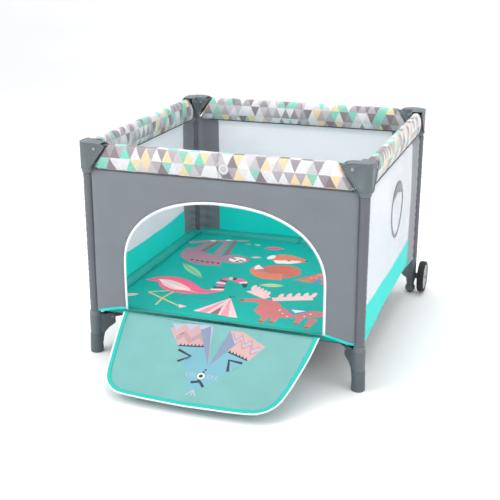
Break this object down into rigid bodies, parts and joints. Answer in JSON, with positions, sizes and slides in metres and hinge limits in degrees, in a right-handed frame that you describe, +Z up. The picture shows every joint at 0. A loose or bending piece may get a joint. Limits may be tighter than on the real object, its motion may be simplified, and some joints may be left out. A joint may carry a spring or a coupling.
{
  "type": "playpen",
  "caption": "Square folding playpen with padded top rails, mesh sides, arched front door flap, printed mat and two rear wheels.",
  "frame": {"origin": "centre of the centre foot's sole, on the floor under the middle of the pen", "axes": "+Z up, +Y to the rear (the door is on the -Y side), +X to the right seen from the door"},
  "size_m": [1.064, 1.3926, 0.753],
  "materials": {
    "steel_grey": "grey powder coat, satin",
    "plastic_grey": "blue-grey moulded plastic, fine grain",
    "rivet": "dark coated steel",
    "cover_print": "padded cover printed with small triangles",
    "grey_cloth": "grey polyester cloth with binding and zip",
    "mesh_teal": "white net over a teal band, grey corner sleeves",
    "floor_cloth": "dark coated cloth",
    "mat_print": "teal printed mat, smooth",
    "flap_print": "mint printed cloth, teal binding, white zip edge",
    "webbing": "black webbing",
    "button": "white moulded plastic",
    "tyre": "black moulded tyre",
    "rim": "light grey moulded rim",
    "boot": "darker grey moulded plastic"
  },
  "bodies": {
    "leg_front_left": {"leg_tube_front_left": "steel_grey", "corner_connector_front_left": "plastic_grey", "foot_bracket_front_left": "plastic_grey", "leg_fasteners_front_left": "rivet", "foot_boot_front_left": "boot", "front_panel": "grey_cloth", "left_wall": "mesh_teal"},
    "leg_front_right": {"leg_tube_front_right": "steel_grey", "corner_connector_front_right": "plastic_grey", "foot_bracket_front_right": "plastic_grey", "leg_fasteners_front_right": "rivet", "foot_boot_front_right": "boot", "right_wall": "mesh_teal"},
    "leg_rear_right": {"leg_tube_rear_right": "steel_grey", "corner_connector_rear_right": "plastic_grey", "foot_bracket_rear_right": "plastic_grey", "leg_fasteners_rear_right": "rivet"},
    "leg_rear_left": {"leg_tube_rear_left": "steel_grey", "corner_connector_rear_left": "plastic_grey", "foot_bracket_rear_left": "plastic_grey", "leg_fasteners_rear_left": "rivet", "rear_wall": "mesh_teal"},
    "strut_front_left": {"strut_front_left": "steel_grey"},
    "strut_front_right": {"strut_front_right": "steel_grey"},
    "strut_rear_right": {"strut_rear_right": "steel_grey"},
    "strut_rear_left": {"strut_rear_left": "steel_grey"},
    "hub": {"hub": "plastic_grey", "hub_foot": "plastic_grey", "pull_strap": "webbing", "floor_panel": "floor_cloth"},
    "rail_front_left": {"rail_front_left": "steel_grey", "rail_cover_front_left": "cover_print"},
    "latch_front": {"latch_housing_front": "plastic_grey"},
    "button_front": {"latch_button_front": "button"},
    "rail_front_right": {"rail_front_right": "steel_grey", "rail_cover_front_right": "cover_print"},
    "rail_right_front": {"rail_right_front": "steel_grey", "rail_cover_right_front": "cover_print"},
    "latch_right": {"latch_housing_right": "plastic_grey"},
    "button_right": {"latch_button_right": "button"},
    "rail_right_rear": {"rail_right_rear": "steel_grey", "rail_cover_right_rear": "cover_print"},
    "rail_rear_right": {"rail_rear_right": "steel_grey", "rail_cover_rear_right": "cover_print"},
    "rail_rear_left": {"rail_rear_left": "steel_grey", "rail_cover_rear_left": "cover_print"},
    "latch_rear": {"latch_housing_rear": "plastic_grey"},
    "button_rear": {"latch_button_rear": "button"},
    "rail_left_rear": {"rail_left_rear": "steel_grey", "rail_cover_left_rear": "cover_print"},
    "rail_left_front": {"rail_left_front": "steel_grey", "rail_cover_left_front": "cover_print"},
    "latch_left": {"latch_housing_left": "plastic_grey"},
    "button_left": {"latch_button_left": "button"},
    "mat": {"mat": "mat_print"},
    "door_flap": {"door_flap": "flap_print"},
    "wheel_left": {"tyre_left": "tyre", "rim_left": "rim"},
    "wheel_right": {"tyre_right": "tyre", "rim_right": "rim"}
  },
  "joints": [
    {"name": "frame_fold", "type": "hinge", "parent": "leg_front_left", "child": "strut_front_left", "pos_m": [-0.4304, -0.4304, 0.125], "axis": [0.7071, -0.7071, 0], "range_deg": [0, 85], "deforming": ["front_panel", "left_wall", "right_wall", "rear_wall", "floor_panel", "mat", "door_flap", "pull_strap", "rail_cover_front_left", "rail_cover_front_right", "rail_cover_right_front", "rail_cover_right_rear", "rail_cover_rear_right", "rail_cover_rear_left", "rail_cover_left_rear", "rail_cover_left_front"]},
    {"name": "hub_level", "type": "hinge", "parent": "strut_front_left", "child": "hub", "pos_m": [-0.0444, -0.0444, 0.125], "axis": [-0.7071, 0.7071, 0], "range_deg": [0, 85]},
    {"name": "strut_fold_front_right", "type": "hinge", "parent": "hub", "child": "strut_front_right", "pos_m": [0.0444, -0.0444, 0.125], "axis": [0.7071, 0.7071, 0], "range_deg": [0, 85]},
    {"name": "leg_level_front_right", "type": "hinge", "parent": "strut_front_right", "child": "leg_front_right", "pos_m": [0.4304, -0.4304, 0.125], "axis": [-0.7071, -0.7071, 0], "range_deg": [0, 85]},
    {"name": "strut_fold_rear_right", "type": "hinge", "parent": "hub", "child": "strut_rear_right", "pos_m": [0.0444, 0.0444, 0.125], "axis": [-0.7071, 0.7071, 0], "range_deg": [0, 85]},
    {"name": "leg_level_rear_right", "type": "hinge", "parent": "strut_rear_right", "child": "leg_rear_right", "pos_m": [0.4304, 0.4304, 0.125], "axis": [0.7071, -0.7071, 0], "range_deg": [0, 85]},
    {"name": "strut_fold_rear_left", "type": "hinge", "parent": "hub", "child": "strut_rear_left", "pos_m": [-0.0444, 0.0444, 0.125], "axis": [-0.7071, -0.7071, 0], "range_deg": [0, 85]},
    {"name": "leg_level_rear_left", "type": "hinge", "parent": "strut_rear_left", "child": "leg_rear_left", "pos_m": [-0.4304, 0.4304, 0.125], "axis": [0.7071, 0.7071, 0], "range_deg": [0, 85]},
    {"name": "rail_fold_front_left", "type": "hinge", "parent": "leg_front_left", "child": "rail_front_left", "pos_m": [-0.432, -0.47, 0.734], "axis": [0, 1, 0], "range_deg": [0, 85]},
    {"name": "latch_level_front", "type": "hinge", "parent": "rail_front_left", "child": "latch_front", "pos_m": [-0.046, -0.47, 0.734], "axis": [0, -1, 0], "range_deg": [0, 85]},
    {"name": "button_press_front", "type": "slide", "parent": "latch_front", "child": "button_front", "axis": [0, 0, 1], "range_m": [0, 0.004], "stiffness_N_per_m": 400, "springref_m": -0.004},
    {"name": "rail_fold_front_right", "type": "hinge", "parent": "leg_front_right", "child": "rail_front_right", "pos_m": [0.432, -0.47, 0.734], "axis": [0, -1, 0], "range_deg": [0, 85]},
    {"name": "rail_fold_right_front", "type": "hinge", "parent": "leg_front_right", "child": "rail_right_front", "pos_m": [0.47, -0.432, 0.734], "axis": [-1, 0, 0], "range_deg": [0, 85]},
    {"name": "latch_level_right", "type": "hinge", "parent": "rail_right_front", "child": "latch_right", "pos_m": [0.47, -0.046, 0.734], "axis": [1, 0, 0], "range_deg": [0, 85]},
    {"name": "button_press_right", "type": "slide", "parent": "latch_right", "child": "button_right", "axis": [0, 0, 1], "range_m": [0, 0.004], "stiffness_N_per_m": 400, "springref_m": -0.004},
    {"name": "rail_fold_right_rear", "type": "hinge", "parent": "leg_rear_right", "child": "rail_right_rear", "pos_m": [0.47, 0.432, 0.734], "axis": [1, 0, 0], "range_deg": [0, 85]},
    {"name": "rail_fold_rear_right", "type": "hinge", "parent": "leg_rear_right", "child": "rail_rear_right", "pos_m": [0.432, 0.47, 0.734], "axis": [0, -1, 0], "range_deg": [0, 85]},
    {"name": "rail_fold_rear_left", "type": "hinge", "parent": "leg_rear_left", "child": "rail_rear_left", "pos_m": [-0.432, 0.47, 0.734], "axis": [0, 1, 0], "range_deg": [0, 85]},
    {"name": "latch_level_rear", "type": "hinge", "parent": "rail_rear_left", "child": "latch_rear", "pos_m": [-0.046, 0.47, 0.734], "axis": [0, -1, 0], "range_deg": [0, 85]},
    {"name": "button_press_rear", "type": "slide", "parent": "latch_rear", "child": "button_rear", "axis": [0, 0, 1], "range_m": [0, 0.004], "stiffness_N_per_m": 400, "springref_m": -0.004},
    {"name": "rail_fold_left_rear", "type": "hinge", "parent": "leg_rear_left", "child": "rail_left_rear", "pos_m": [-0.47, 0.432, 0.734], "axis": [1, 0, 0], "range_deg": [0, 85]},
    {"name": "rail_fold_left_front", "type": "hinge", "parent": "leg_front_left", "child": "rail_left_front", "pos_m": [-0.47, -0.432, 0.734], "axis": [-1, 0, 0], "range_deg": [0, 85]},
    {"name": "latch_level_left", "type": "hinge", "parent": "rail_left_front", "child": "latch_left", "pos_m": [-0.47, -0.046, 0.734], "axis": [1, 0, 0], "range_deg": [0, 85]},
    {"name": "button_press_left", "type": "slide", "parent": "latch_left", "child": "button_left", "axis": [0, 0, 1], "range_m": [0, 0.004], "stiffness_N_per_m": 400, "springref_m": -0.004},
    {"name": "mat_lift", "type": "slide", "parent": "hub", "child": "mat", "axis": [0, 0, 1], "range_m": [0, 0.2]},
    {"name": "door_open", "type": "hinge", "parent": "leg_front_left", "child": "door_flap", "pos_m": [0, -0.491, 0.176], "axis": [-1, 0, 0], "range_deg": [0, 114]},
    {"name": "wheel_spin_left", "type": "hinge", "parent": "leg_rear_left", "child": "wheel_left", "pos_m": [-0.515, 0.482, 0.067], "axis": [1, 0, 0], "continuous": true},
    {"name": "wheel_spin_right", "type": "hinge", "parent": "leg_rear_right", "child": "wheel_right", "pos_m": [0.515, 0.482, 0.067], "axis": [1, 0, 0], "continuous": true}
  ],
  "couplings": [
    {"joint": "hub_level", "follows": "frame_fold", "ratio": 1},
    {"joint": "strut_fold_front_right", "follows": "frame_fold", "ratio": 1},
    {"joint": "leg_level_front_right", "follows": "frame_fold", "ratio": 1},
    {"joint": "strut_fold_rear_right", "follows": "frame_fold", "ratio": 1},
    {"joint": "leg_level_rear_right", "follows": "frame_fold", "ratio": 1},
    {"joint": "strut_fold_rear_left", "follows": "frame_fold", "ratio": 1},
    {"joint": "leg_level_rear_left", "follows": "frame_fold", "ratio": 1},
    {"joint": "rail_fold_front_left", "follows": "frame_fold", "ratio": 1},
    {"joint": "latch_level_front", "follows": "frame_fold", "ratio": 1},
    {"joint": "rail_fold_front_right", "follows": "frame_fold", "ratio": 1},
    {"joint": "rail_fold_right_front", "follows": "frame_fold", "ratio": 1},
    {"joint": "latch_level_right", "follows": "frame_fold", "ratio": 1},
    {"joint": "rail_fold_right_rear", "follows": "frame_fold", "ratio": 1},
    {"joint": "rail_fold_rear_right", "follows": "frame_fold", "ratio": 1},
    {"joint": "rail_fold_rear_left", "follows": "frame_fold", "ratio": 1},
    {"joint": "latch_level_rear", "follows": "frame_fold", "ratio": 1},
    {"joint": "rail_fold_left_rear", "follows": "frame_fold", "ratio": 1},
    {"joint": "rail_fold_left_front", "follows": "frame_fold", "ratio": 1},
    {"joint": "latch_level_left", "follows": "frame_fold", "ratio": 1},
    {"joint": "mat_lift", "follows": "frame_fold", "m_per_rad": 0.1348}
  ]
}
